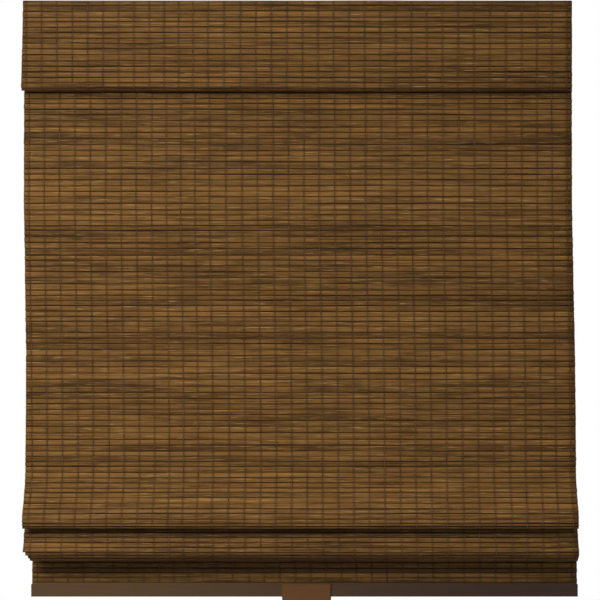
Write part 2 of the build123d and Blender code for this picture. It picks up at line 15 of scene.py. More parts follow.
import bpy
import numpy as np
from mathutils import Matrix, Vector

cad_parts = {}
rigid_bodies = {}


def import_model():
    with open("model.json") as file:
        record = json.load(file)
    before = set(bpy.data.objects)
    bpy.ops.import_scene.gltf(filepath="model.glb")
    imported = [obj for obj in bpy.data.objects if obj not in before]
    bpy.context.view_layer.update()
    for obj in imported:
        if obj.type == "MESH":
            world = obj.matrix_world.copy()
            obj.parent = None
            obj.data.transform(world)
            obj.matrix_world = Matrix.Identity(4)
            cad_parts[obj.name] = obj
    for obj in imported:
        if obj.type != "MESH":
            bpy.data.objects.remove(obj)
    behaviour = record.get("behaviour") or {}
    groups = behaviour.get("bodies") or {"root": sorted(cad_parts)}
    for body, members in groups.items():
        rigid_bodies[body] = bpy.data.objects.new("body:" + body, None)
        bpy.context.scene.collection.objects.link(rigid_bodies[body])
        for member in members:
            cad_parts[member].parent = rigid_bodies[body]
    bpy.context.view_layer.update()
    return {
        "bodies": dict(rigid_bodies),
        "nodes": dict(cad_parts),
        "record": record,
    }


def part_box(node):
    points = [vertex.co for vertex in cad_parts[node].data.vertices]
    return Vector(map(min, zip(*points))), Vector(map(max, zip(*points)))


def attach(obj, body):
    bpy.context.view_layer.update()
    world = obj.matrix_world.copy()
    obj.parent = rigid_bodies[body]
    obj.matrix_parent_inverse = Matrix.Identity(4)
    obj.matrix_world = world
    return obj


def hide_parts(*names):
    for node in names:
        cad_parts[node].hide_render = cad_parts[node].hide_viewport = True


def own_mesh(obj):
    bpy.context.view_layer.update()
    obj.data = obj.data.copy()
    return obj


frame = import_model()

print("bodies:", ", ".join(frame["bodies"]))

# %% [markdown]
# ## The camera
#
# The picture shows the shade square on from a few metres away, a little below its middle. A long
# lens keeps its sides nearly parallel. The lens follows from two sizes: how many pixels wide one
# metre is at the shade, and how far away the camera stands.

# %% The camera
PICTURE_SIDE = 600
SENSOR_WIDTH = 36.0
camera_distance = 3.0
camera_side = 0.0058
camera_height = -0.455
pixels_per_metre = 590.33

camera_data = bpy.data.cameras.new("front_camera")
camera_data.sensor_width = SENSOR_WIDTH
camera_data.lens = SENSOR_WIDTH * pixels_per_metre * camera_distance / PICTURE_SIDE
camera = bpy.data.objects.new("front_camera", camera_data)
camera.location = (camera_side, -camera_distance, camera_height)
camera.rotation_euler = (math.radians(90), 0, 0)
bpy.context.scene.collection.objects.link(camera)
bpy.context.scene.camera = camera
bpy.context.scene.view_settings.view_transform = "Standard"
print(f"lens {camera_data.lens:.1f} mm")

# %% [markdown]
# ## Finishes as sums
#
# A finish is a small network of nodes. Drawn by hand it is quick to try and slow to read, so here
# a socket is wrapped in a class whose arithmetic adds Math nodes, and a finish reads like the sum
# that it is. One method adds every other kind of node.

# %% A socket that can be added and multiplied
class Wire:
    """The output of a node. Arithmetic on it adds Math nodes to the same finish."""

    def __init__(self, finish, socket):
        self.finish = finish
        self.socket = socket

    def maths(self, operation, *values):
        return self.finish.add("Math", {"operation": operation}, dict(enumerate(values)))

    def __add__(self, other):
        return self.maths("ADD", self, other)

    def __sub__(self, other):
        return self.maths("SUBTRACT", self, other)

    def __rsub__(self, other):
        return self.maths("SUBTRACT", other, self)

    def __mul__(self, other):
        return self.maths("MULTIPLY", self, other)

    __radd__ = __add__
    __rmul__ = __mul__

    def floor(self):
        return self.maths("FLOOR", self)

    def fraction(self):
        return self.maths("FRACT", self)

    def size(self):
        return self.maths("ABSOLUTE", self)

    def sine(self):
        return self.maths("SINE", self)

    def step(self, low, high):
        """0 below low and 1 above high, with a smooth slope between.

        It falls where low is the higher of the two.
        """
        return self.finish.add(
            "MapRange",
            {"interpolation_type": "SMOOTHSTEP"},
            {"Value": self, "From Min": low, "From Max": high},
        )


# %% A finish and the method that adds its nodes
# A Mix node has sockets for each kind of value. These are the numbers of those for colours.
MIX_SHARE = 0
MIX_FIRST = 6
MIX_SECOND = 7
MIX_RESULT = 2


class Finish:
    """A material built in code. Its look is set by the finish functions further down."""

    def __init__(self, name):
        self.material = bpy.data.materials.new(name)
        self.material.use_nodes = True
        self.tree = self.material.node_tree
        self.tree.nodes.clear()

    def add(self, kind, settings=None, sockets=None, output=0):
        """Adds one node: its settings first, then the values or wires of its sockets."""
        node = self.tree.nodes.new("ShaderNode" + kind)
        for name, value in (settings or {}).items():
            setattr(node, name, value)
        for name, value in (sockets or {}).items():
            if isinstance(value, Wire):
                self.tree.links.new(value.socket, node.inputs[name])
            else:
                node.inputs[name].default_value = value
        return Wire(self, node.outputs[output]) if node.outputs else None

    def mix(self, share, first, second):
        """The first colour where share is 0 and the second where it is 1."""
        sockets = {MIX_SHARE: share, MIX_FIRST: colour(first), MIX_SECOND: colour(second)}
        return self.add("Mix", {"data_type": "RGBA"}, sockets, output=MIX_RESULT)

    def place(self):
        """Where a point is on its piece, in metres."""
        return self.add("TexCoord", output="Object")

    def attribute(self, name):
        """The three numbers that a skin carries under this name."""
        return self.parts(self.add("Attribute", {"attribute_name": name}, output="Vector"))

    def parts(self, vector):
        """The three numbers of a vector, each as a wire."""
        split = self.add("SeparateXYZ", sockets={0: vector})
        outputs = split.socket.node.outputs
        return [Wire(self, outputs[number]) for number in range(3)]

    def join(self, x, y, z):
        return self.add("CombineXYZ", sockets={0: x, 1: y, 2: z})

    def noise(self, vector, scale, detail=2.0, rough=0.5):
        values = {"Vector": vector, "Scale": scale, "Detail": detail, "Roughness": rough}
        return self.add("TexNoise", sockets=values)

    def chance(self, vector):
        """A number from 0 to 1 that is the same everywhere on one cell."""
        return self.add("TexWhiteNoise", {"noise_dimensions": "3D"}, {"Vector": vector})

    def surface(self, base, roughness, height=None, depth=0.0, **fixed):
        """The last nodes: a Principled surface, bumped by height. Fixed sockets stay numbers."""
        sockets = {"Base Color": colour(base), "Roughness": roughness}
        if height is not None:
            bump = {"Strength": 1.0, "Distance": depth, "Height": height}
            sockets["Normal"] = self.add("Bump", sockets=bump)
        for name, value in fixed.items():
            sockets[name.replace("_", " ")] = value
        shell = self.add("BsdfPrincipled", sockets=sockets)
        self.add("OutputMaterial", sockets={"Surface": shell})
        return self.material


def colour(value):
    """A colour as a node wants it.

    Three numbers from 0 to 255, as a screen shows them, become light by the sRGB curve.
    """
    if isinstance(value, Wire):
        return value
    parts = np.asarray(value, dtype=float) / 255
    light = np.where(parts <= 0.04045, parts / 12.92, ((parts + 0.055) / 1.055) ** 2.4)
    return (*light, 1.0)


# %% [markdown]
# ## Lines in the side view
#
# Everything woven follows a line in the side view, given as (y, z) points: down the face, round a
# hem, back up inside a fold. A line is measured along its own length, so that a slat or a stitch
# can be asked for by its distance from the top.

# %% Walk along a line, and ease its corners
EASE_STEP = 0.001
EASE_SAMPLES = 33
FEWEST_STEPS = 8


def run_lengths(line):
    """How far along the line each of its points lies."""
    steps = np.hypot(*np.diff(line, axis=0).T)
    return np.concatenate([[0.0], np.cumsum(steps)])


def walk(line, distances):
    """The (y, z) places at these distances from the line's start, straight between its points."""
    marks = run_lengths(line)
    return np.stack([np.interp(distances, marks, line[:, axis]) for axis in (0, 1)], axis=-1)


def unit(way):
    """The same way, or ways, with length 1."""
    return way / np.hypot(way[..., 0], way[..., 1])[..., None]


def front_of(across):
    """The ways that point out of the mat's front, a quarter turn from those across its slats."""
    return np.stack([across[:, 1], -across[:, 0]], axis=-1)


def eased(line, reach):
    """The line with soft corners: each place becomes the mean of the line within reach of it.

    The line is first made longer by reach at both ends, so that its ends stay where they are.
    """
    line = np.asarray(line, dtype=float)
    first = line[0] + unit(line[0] - line[1]) * reach
    last = line[-1] + unit(line[-1] - line[-2]) * reach
    longer = np.vstack([first, line, last])
    end = run_lengths(line)[-1]
    at = np.linspace(reach, reach + end, max(int(end / EASE_STEP), FEWEST_STEPS))
    window = np.linspace(-reach, reach, EASE_SAMPLES)
    return walk(longer, at[:, None] + window[None, :]).mean(axis=1)


# %% [markdown]
# ## The route of the mat
#
# The mat hangs straight behind the valance, leans forward a little, bulges over its own folds and
# turns back at the hem. Then it makes one more fold that stands out at the front, and its tail
# drops behind that fold to the bottom rail. The measured model has the same route.

# %% The route of the mat in the side view
mat_low, mat_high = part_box("shade_mat")
board_low, board_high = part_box("headrail_board")
rail_low, rail_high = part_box("bottom_rail")
valance_low, valance_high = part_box("valance_mat")

slat_thickness = 0.0020
panel_ease = 0.010
fold_ease = 0.005
panel_y = board_low.y - slat_thickness / 2
panel_top = board_high.z
tail_y = rail_high.y + slat_thickness / 2
tail_above_rail_top = -0.011

# How far forward and how far down each corner of the panel lies, from its top.
panel_corners = [
    (0.0, 0.0),
    (0.0, 0.1515),
    (0.009, 0.7935),
    (0.027, 0.8255),
    (0.0432, 0.8495),
    (0.045, 0.8685),
]
panel_points = [(panel_y - forward, panel_top - down) for forward, down in panel_corners]
panel_line = eased(panel_points, panel_ease)

# The bends of the folds. The two numbers say how far back and up each lies from another bend.
hem = panel_line[-1]
crease = hem + (0.060, 0.0509)
fold_top = crease + (-0.038, -0.0605)
fold_low = crease + (-0.0530, -0.0946)
fold_under = fold_low + (0.0135, -0.0150)
fold_crease = fold_low + (0.0510, 0.0136)
tail_top = np.array([tail_y, fold_crease[1] - 0.0030])
tail_foot = np.array([tail_y, rail_high.z + tail_above_rail_top])

# The runs between the bends. Each starts just past the end of the one before.
stack_runs = {
    "hem_nose": [hem + (0.0003, -0.0004), hem + (0.0028, -0.0043)],
    "hem_leg": [hem + (0.0036, -0.0040), crease],
    "crease": [
        crease + (0.0025, -0.0005),
        crease + (0.0029, -0.0035),
        crease + (0.0005, -0.0055),
    ],
    "fold_face": eased([crease + (-0.0007, -0.0068), fold_top, fold_low], fold_ease),
    "fold_foot": [fold_low + (0.0004, -0.0004), fold_low + (0.0028, -0.0054)],
    "fold_belly": [fold_low + (0.0031, -0.0057), fold_low + (0.0084, -0.0110)],
    "fold_base": [fold_low + (0.0087, -0.0113), fold_under],
    "fold_leg": [fold_under + (0.0008, 0.0002), fold_crease],
    "fold_crease": [fold_crease + (0.0025, -0.0005), tail_top],
    "tail": [tail_top + (0.0, -0.0006), tail_foot],
}
print("the mat's box goes from z", round(mat_high.z, 4), "down to", round(mat_low.z, 4))
print("the hem hangs at z", round(float(hem[1]), 4))
print("the rail's foot is at z", round(rail_low.z, 4))

# %% [markdown]
# ## Laying the slats
#
# No two slats of such a mat are equally wide, and each is laid by hand against the one above, so
# the dark lines between them are neither even nor quite parallel. Each run of the route is cut
# into slats of uneven width, with a seed, so that the mat comes out the same every time. The
# lowest slats of the face lie over the folds, so they belong to them and rise with them.

# %% Cut a line into uneven slats
SEED = 41
NARROWEST = 0.68
WIDEST = 1.35


def lay_slats(line, pitch, luck, spread):
    """The (y, z) of each slat's upper and lower edge, with widths that spread around the pitch."""
    line = np.asarray(line, dtype=float)
    length = run_lengths(line)[-1]
    count = max(round(length / pitch), 1)
    shares = np.clip(luck.normal(1.0, spread, count), NARROWEST, WIDEST)
    edges = np.concatenate([[0.0], np.cumsum(shares)]) * length / shares.sum()
    return np.stack([walk(line, edges[:-1]), walk(line, edges[1:])], axis=1)


# %% The slats of the panel and of the folds
slat_pitch = 0.0095
slat_spread = 0.11
stack_pitch = 0.0086
stack_spread = 0.08
hem_slat_width = 0.0044
bulge_height = 0.035
face_points = 900

luck = np.random.default_rng(SEED)
panel_length = run_lengths(panel_line)[-1]
above_hem = walk(panel_line, np.linspace(0, panel_length - hem_slat_width, face_points))
face_slats = lay_slats(above_hem, slat_pitch, luck, slat_spread)
face_slats = np.concatenate([face_slats, [[above_hem[-1], hem]]])
hangs = face_slats[:, 1, 1] > hem[1] + bulge_height
panel_slats = face_slats[hangs]
stack_by_run = {"bulge": face_slats[~hangs]}
for name, run in stack_runs.items():
    stack_by_run[name] = lay_slats(run, stack_pitch, luck, stack_spread)
stack_slats = np.concatenate(list(stack_by_run.values()))
print(len(panel_slats), "slats in the panel and", len(stack_slats), "in the folds and the tail")

# %% Slat numbers, which the finish tells the slats apart by
panel_number = 0
hem_number = 100
valance_number = 150
stack_number = hem_number - len(stack_by_run["bulge"])


def number_at_top_of(run):
    """The number of a run's first slat. The slats past the hem count on from hem_number."""
    names = list(stack_runs)
    return hem_number + sum(len(stack_by_run[name]) for name in names[: names.index(run)])


foot_number = number_at_top_of("fold_foot")
tail_number = number_at_top_of("tail")
print("the fold's foot starts at slat", foot_number, "and the tail at slat", tail_number)

# %% [markdown]
# ## One skin for all the slats
#
# A slat is a thin strip with rounded edges. Its section is a ring of ten points, carried along a
# row of stations from one end to the other, and at each station the strip is a touch wider,
# narrower, higher or lower. All slats are worked out at once, as one block of numbers with a row
# for each slat, a column for each station and a layer for each point of the ring.

# %% Rings carried along stations become a closed skin
def skin(name, rings, **attributes):
    """A mesh from rings[piece, station, point], each joined to the next, with closed ends.

    Corner (station, point) is joined to its neighbours (station + 1, point),
    (station + 1, point + 1) and (station, point + 1). The point number wraps round the ring.
    """
    pieces, stations, points = rings.shape[:3]
    number = np.arange(pieces * stations * points).reshape(pieces, stations, points)
    ahead = np.roll(number, -1, axis=2)
    quads = np.stack([number[:, :-1], number[:, 1:], ahead[:, 1:], ahead[:, :-1]], axis=-1)
    caps = np.concatenate([number[:, 0, :], number[:, -1, ::-1]])
    corners = np.concatenate([quads.reshape(-1), caps.reshape(-1)])
    quad_count = quads.size // 4
    cap_starts = quads.size + np.arange(len(caps)) * points
    starts = np.concatenate([np.arange(quad_count) * 4, cap_starts])
    mesh = bpy.data.meshes.new(name)
    mesh.vertices.add(number.size)
    mesh.vertices.foreach_set("co", rings.reshape(-1).astype(np.float32))
    mesh.loops.add(len(corners))
    mesh.loops.foreach_set("vertex_index", corners.astype(np.int32))
    mesh.polygons.add(len(starts))
    mesh.polygons.foreach_set("loop_start", starts.astype(np.int32))
    for key, values in attributes.items():
        layer = mesh.attributes.new(key, "FLOAT_VECTOR", "POINT")
        layer.data.foreach_set("vector", values.reshape(-1).astype(np.float32))
    mesh.update(calc_edges=True)
    mesh.validate()
    mesh.polygons.foreach_set("use_smooth", np.arange(len(starts)) < quad_count)
    piece = bpy.data.objects.new(name, mesh)
    bpy.context.scene.collection.objects.link(piece)
    return piece


def outward(rings):
    """The rings with their points in the order that turns the skin's faces outwards."""
    ring = rings[0, 0]
    along = rings[0, 1].mean(axis=0) - ring.mean(axis=0)
    turn = np.cross(ring, np.roll(ring, -1, axis=0)).sum(axis=0) @ along
    return rings if turn < 0 else rings[:, :, ::-1]


# %% The slats of a mat
# Each corner of the section, as shares of half the slat's width and half its thickness.
SLAT_RING = np.array(
    [
        (-1.0, -0.40),
        (-1.0, 0.40),
        (-0.90, 0.92),
        (-0.40, 1.0),
        (0.40, 1.0),
        (0.90, 0.92),
        (1.0, 0.40),
        (1.0, -0.40),
        (0.88, -0.95),
        (-0.88, -0.95),
    ]
)
slat_gap = 0.0008
gap_shares = (0.4, 1.6)
width_waves = (0.00007, 0.00006, 0.00005, 0.00004)
bow_waves = (0.00018, 0.00012, 0.00008, 0.00005)
lift_waves = (0.00012, 0.00010)
trim_error = 0.00016


def wander(luck, rows, at, sizes):
    """Slow random curves, one for each row: waves with random heights and phases, added up."""
    total = np.zeros((rows, len(at)))
    for waves, size in enumerate(sizes, start=1):
        phase = luck.uniform(0, 2 * math.pi, (rows, 1))
        height = luck.normal(0, size, (rows, 1))
        total += height * np.sin(at[None, :] * waves * math.pi + phase)
    return total


def slat_skin(name, slats, ends, luck, first_number, sag=0.0, stations=58):
    """A mat's slats. Each point is the slat's middle + across * down + out * front.

    Across points down the route, and out points out of the mat's front. Down is half the width
    times the ring's first number, plus a bow. Front is half the thickness times its second
    number, plus a lift. Width, bow and lift wander from end to end. The ends are the x of each
    slat's left and right end, and sag is how much lower the ends lie than the middle. The
    attribute holds the place along the slat, the place across it and its number.
    """
    count = len(slats)
    middle = slats.mean(axis=1)
    way = slats[:, 1] - slats[:, 0]
    width = np.hypot(way[:, 0], way[:, 1])
    across = unit(way)
    out = front_of(across)
    at = np.linspace(-1, 1, stations)
    half = (width[:, None] - slat_gap * luck.uniform(*gap_shares, (count, 1))) / 2
    half = half + wander(luck, count, at, width_waves)
    bow = wander(luck, count, at, bow_waves) + np.multiply.outer(sag, at**2)
    lift = wander(luck, count, at, lift_waves)
    down = half[:, :, None] * SLAT_RING[None, None, :, 0] + bow[:, :, None]
    front = slat_thickness / 2 * SLAT_RING[None, None, :, 1] + lift[:, :, None]
    place = (
        middle[:, None, None, :]
        + across[:, None, None, :] * down[..., None]
        + out[:, None, None, :] * front[..., None]
    )
    trimmed = ends + luck.normal(0, trim_error, (count, 2))
    x = trimmed[:, :1] + (trimmed[:, 1:] - trimmed[:, :1]) * (at[None, :] + 1) / 2
    x = np.broadcast_to(x[:, :, None], down.shape)
    rings = np.concatenate([x[..., None], place], axis=-1)
    numbers = np.broadcast_to(first_number + np.arange(count)[:, None, None], down.shape)
    across_slat = np.broadcast_to(slat_pitch / 2 * SLAT_RING[None, None, :, 0], down.shape)
    along = x - column_shift(ends)[:, None, None]
    grain = np.stack([along - column_drift(along), across_slat, numbers], axis=-1)
    ordered = outward(rings)
    if ordered is not rings:
        grain = grain[:, :, ::-1]
    piece = skin(name, ordered, slat=grain)
    print(name, len(piece.data.polygons), "faces")
    return piece


# %% [markdown]
# ## The side drift
#
# The foot of the mat hangs some millimetres further right than its top, as a real mat does after
# some use, and the lowest slats of the fold are cut shorter at their left end. So each slat gets
# its own left and right end, and the yarn keeps its distance from the right ends. The yarns were
# strung by eye, so their columns aren't quite evenly spaced either.

# %% Left and right ends
undrifted_right = 0.457


def panel_ends(z):
    """The x of the left and right end of the panel's slats at height z, even between heights."""
    heights = [-0.82, -0.75, -0.65, -0.54, -0.455, -0.388, -0.30]
    lefts = [-0.4510, -0.4511, -0.4503, -0.4502, -0.4518, -0.4525, -0.4544]
    rights = [0.4640, 0.4650, 0.4646, 0.4635, 0.4618, 0.4607, 0.4592]
    return np.stack([np.interp(z, heights, lefts), np.interp(z, heights, rights)], axis=-1)


def column_shift(ends):
    """How far the yarn columns move with a slat: they follow its right end."""
    return ends[:, 1] - undrifted_right


def column_drift(x):
    """How far the columns near x lie from even spacing, because the yarns were strung by eye."""
    places = [-0.46, -0.24, -0.19, -0.155, -0.09, 0.24, 0.32, 0.36, 0.40, 0.46]
    drifts = [0, -0.0004, -0.0032, -0.0064, -0.0032, -0.0013, 0.0004, 0.0021, 0.0019, 0]
    return np.interp(x, places, drifts)


# The left and right end of the first slat of each run, and of its last.
stack_ends_by_run = {
    "hem_nose": ((-0.4508, 0.4640), (-0.4508, 0.4640)),
    "hem_leg": ((-0.4490, 0.4640), (-0.4490, 0.4642)),
    "crease": ((-0.4490, 0.4643), (-0.4490, 0.4645)),
    "fold_face": ((-0.4500, 0.4646), (-0.4506, 0.4656)),
    "fold_foot": ((-0.4470, 0.4657), (-0.4470, 0.4657)),
    "fold_belly": ((-0.4430, 0.4656), (-0.4430, 0.4656)),
    "fold_base": ((-0.4392, 0.4650), (-0.4392, 0.4650)),
    "fold_leg": ((-0.4390, 0.4655), (-0.4420, 0.4690)),
    "fold_crease": ((-0.4430, 0.4695), (-0.4432, 0.4700)),
    "tail": ((-0.4433, 0.4703), (-0.4436, 0.4704)),
}


def stack_ends():
    """The ends of each slat of the folds and the tail, even from a run's first to its last."""
    rows = [panel_ends(stack_by_run["bulge"].mean(axis=1)[:, 1])]
    for name, ends in stack_ends_by_run.items():
        rows.append(np.linspace(*ends, len(stack_by_run[name])))
    return np.concatenate(rows)


panel_sides = panel_ends(panel_slats.mean(axis=1)[:, 1])
stack_sides = stack_ends()

panel_weave = slat_skin("panel_weave", panel_slats, panel_sides, luck, panel_number)
stack_weave = slat_skin("stack_weave", stack_slats, stack_sides, luck, stack_number)

# %% [markdown]
# ## The valance
#
# The valance is a second, shorter mat in front of the headrail. Its lower edge is turned back
# under itself, and that turned edge faces the floor, so it shows as one dark band.

# %% The valance's slats
valance_pitch = 0.0088
valance_spread = 0.10
valance_right = 0.4568
valance_top_sag = 0.0011
valance_top = (valance_low.y + slat_thickness / 2, valance_high.z)
valance_foot = np.array([valance_top[0], valance_low.z])

# The face, the nose of the turned edge, its lip and the edge that goes back up inside.
valance_runs = [
    [valance_top, valance_foot + (0.0, 0.0037)],
    [valance_foot + (0.0010, 0.0033), valance_foot + (0.0044, 0.0010)],
    [valance_foot + (0.0046, 0.0009), valance_foot + (0.0053, -0.0006)],
    [valance_foot + (0.0053, 0.0020), valance_foot + (0.0053, 0.0255)],
]
valance_slats = [lay_slats(run, valance_pitch, luck, valance_spread) for run in valance_runs]
valance_slats = np.concatenate(valance_slats)
valance_z = valance_slats.mean(axis=1)[:, 1]
valance_left = np.interp(valance_z, [-0.09, -0.04, 0.036], [-0.4566, -0.4551, -0.4536])
valance_sides = np.stack([valance_left, np.full(len(valance_z), valance_right)], axis=-1)
on_face = valance_slats[:, 0, 0] < valance_top[0] + slat_thickness / 2
valance_sag = np.interp(valance_z, [-0.06, 0.036], [0.0, valance_top_sag]) * on_face
valance_weave = slat_skin(
    "valance_weave", valance_slats, valance_sides, luck, valance_number, valance_sag
)

# %% [markdown]
# ## The yarn
#
# Each column has one yarn in front of the slats and one behind. They cross between every two
# slats, so a yarn lies high over a slat and dips into each gap. Its section is an oval of six
# points, carried down the route.

# %% Yarn over the slats
thread_pitch = 0.0256
column_count = 36
even_columns = (np.arange(column_count) - (column_count - 1) / 2) * thread_pitch
thread_columns = even_columns + column_drift(even_columns)
YARN_TURN = np.linspace(0, 2 * math.pi, 6, endpoint=False)
yarn_half_width = 0.00066
yarn_half_height = 0.00034
yarn_height_share = 0.8
yarn_dip = 0.0007
yarn_zigzag = 0.00022
yarn_slip = 0.0003
yarn_start_share = 0.15


def yarn_skin(name, slats, ends, luck, hand):
    """Yarn columns on one side of the slats: hand is 1 for the front and -1 for the back.

    A yarn's middle passes, slat by slat, through the gap above, then a quarter and three quarters
    down the slat. Over the slat it rides at half a slat's thickness plus most of its own half
    height, and at the gap it dips. From slat to slat it steps from side to side, because two
    yarns twist round each other. Each oval is x + cos(turn) * half width and
    out + sin(turn) * half height.
    """
    way = slats[:, 1] - slats[:, 0]
    out = front_of(unit(way)) * hand
    over = slat_thickness / 2 + yarn_half_height * yarn_height_share
    shares = np.array([0.0, 0.25, 0.75])
    rise = np.array([over - yarn_dip, over, over])
    line = slats[:, None, 0] + way[:, None, :] * shares[None, :, None]
    line = (line + out[:, None, :] * rise[None, :, None]).reshape(-1, 2)
    line[0] += way[0] * yarn_start_share
    outs = np.repeat(out, len(shares), axis=0)
    side = (-1.0) ** np.arange(len(slats))
    zigzag = np.outer(side, [0.0, 1.0, 1.0]).reshape(-1) * yarn_zigzag * hand
    sides = np.repeat(column_shift(ends), len(shares)) + zigzag
    rows = len(thread_columns)
    slip = luck.normal(0, yarn_slip, (rows, 1))
    slip = slip + wander(luck, rows, np.linspace(-1, 1, len(line)), (yarn_slip, yarn_slip))
    x = thread_columns[:, None] + sides[None, :] + slip
    ring_x = x[:, :, None] + np.cos(YARN_TURN) * yarn_half_width
    lift = np.sin(YARN_TURN)[None, None, :, None] * yarn_half_height * outs[None, :, None, :]
    ring_yz = line[None, :, None, :] + lift
    ring_yz = np.broadcast_to(ring_yz, (*ring_x.shape, 2))
    rings = np.concatenate([ring_x[..., None], ring_yz], axis=-1)
    along = np.broadcast_to(np.arange(len(line))[None, :, None] / len(shares), ring_x.shape)
    turn = np.broadcast_to(YARN_TURN[None, None, :], ring_x.shape)
    column = np.broadcast_to(np.arange(rows)[:, None, None] * 1.0, ring_x.shape)
    twist = np.stack([turn, along, column], axis=-1)
    ordered = outward(rings)
    if ordered is not rings:
        twist = twist[:, :, ::-1]
    piece = skin(name, ordered, twist=twist)
    print(name, len(piece.data.polygons), "faces")
    return piece


panel_yarn = yarn_skin("panel_yarn_front", panel_slats, panel_sides, luck, 1)
panel_yarn_back = yarn_skin("panel_yarn_back", panel_slats, panel_sides, luck, -1)
stack_yarn = yarn_skin("stack_yarn_front", stack_slats, stack_sides, luck, 1)
stack_yarn_back = yarn_skin("stack_yarn_back", stack_slats, stack_sides, luck, -1)
valance_yarn = yarn_skin("valance_yarn_front", valance_slats, valance_sides, luck, 1)
valance_yarn_back = yarn_skin("valance_yarn_back", valance_slats, valance_sides, luck, -1)

# %% [markdown]
# ## The web between the slats
#
# Between two slats the mat is closed by fine brown yarn, so that no light comes through. It is a
# thin layer in the middle of the mat, and only a line of it shows in each gap. It is coloured much
# darker than the yarn, as painted shade in the gaps.

# %% The web
web_thickness = 0.0005
web_inset = 0.0004


def web_skin(name, slats, ends):
    """A thin closed sheet along the slats' edges: each ring is four corners across the shade."""
    line = np.concatenate([slats[:, 0], slats[-1:, 1]])
    out = front_of(unit(np.gradient(line, axis=0))) * web_thickness / 2
    left = np.append(ends[:, 0], ends[-1, 0]) + web_inset
    right = np.append(ends[:, 1], ends[-1, 1]) - web_inset
    x = np.stack([left, right, right, left], axis=-1)
    yz = np.stack([line + out, line + out, line - out, line - out], axis=1)
    rings = np.concatenate([x[..., None], yz], axis=-1)[None]
    piece = skin(name, outward(rings))
    print(name, round(float(run_lengths(line)[-1]), 3), "m long")
    return piece


panel_web = web_skin("panel_web", panel_slats, panel_sides)
stack_web = web_skin("stack_web", stack_slats, stack_sides)
valance_web = web_skin("valance_web", valance_slats, valance_sides)

# %% [markdown]
# ## The bamboo finish
#
# The slats are split bamboo, stained brown. The look comes from many small things: every slat
# takes the stain a little differently, some groups of slats are darker, tone and hue drift along
# each slat, fibres run lengthwise, a few of them pale, and now and then a joint of the cane
# crosses a slat. Painted shade is laid over this: along the slat's edges, where the stain also
# gathers, darkening them as the gaps between slats are shaded, and in a soft band beside each
# yarn. The slats on the underside of the lower fold get painted shade, and the slats of the tail
# just below the fold get a painted shadow of the fold, strongest on one of them.
#
# All of it reads the attribute that the skin carries: distance along the slat, distance across it
# and its number. So one rule gives every grain: a noise that changes so many times a metre
# lengthwise and crosswise, and that starts elsewhere on each slat.

# %% Colours of the bamboo
# TAN and DARK are pairs, because the hue drifts along each slat.
TAN = ((141, 100, 47), (139, 97, 50))
DARK = ((60, 40, 15), (61, 41, 18))
PALE_FIBRE = (184, 144, 84)
CANE_JOINT = (150, 118, 74)
SMUDGE = (60, 40, 30)
# Stain gathered along the slat edges, and painted shade of the gaps between slats.
EDGE_STAIN_AND_SHADE = (52, 30, 10)
# Painted shade beside each yarn column.
YARN_SHADE_TONE = (60, 40, 22)
# Painted shade on the underside of the lower fold, where its slats face the floor.
FOLD_SHADE_TONE = (44, 32, 22)
# Painted shadow that the lower fold casts on the tail.
FOLD_SHADOW_TONE = (38, 28, 22)
darkest_sum = 1.555
# The middle slat of the painted shade under the lower fold.
fold_shade_middle = foot_number + 2.4
# The slat of the tail where the fold's painted shadow is strongest.
fold_shadow_slat = tail_number + 5.0
print("darker slats round", fold_shade_middle, "and", fold_shadow_slat)


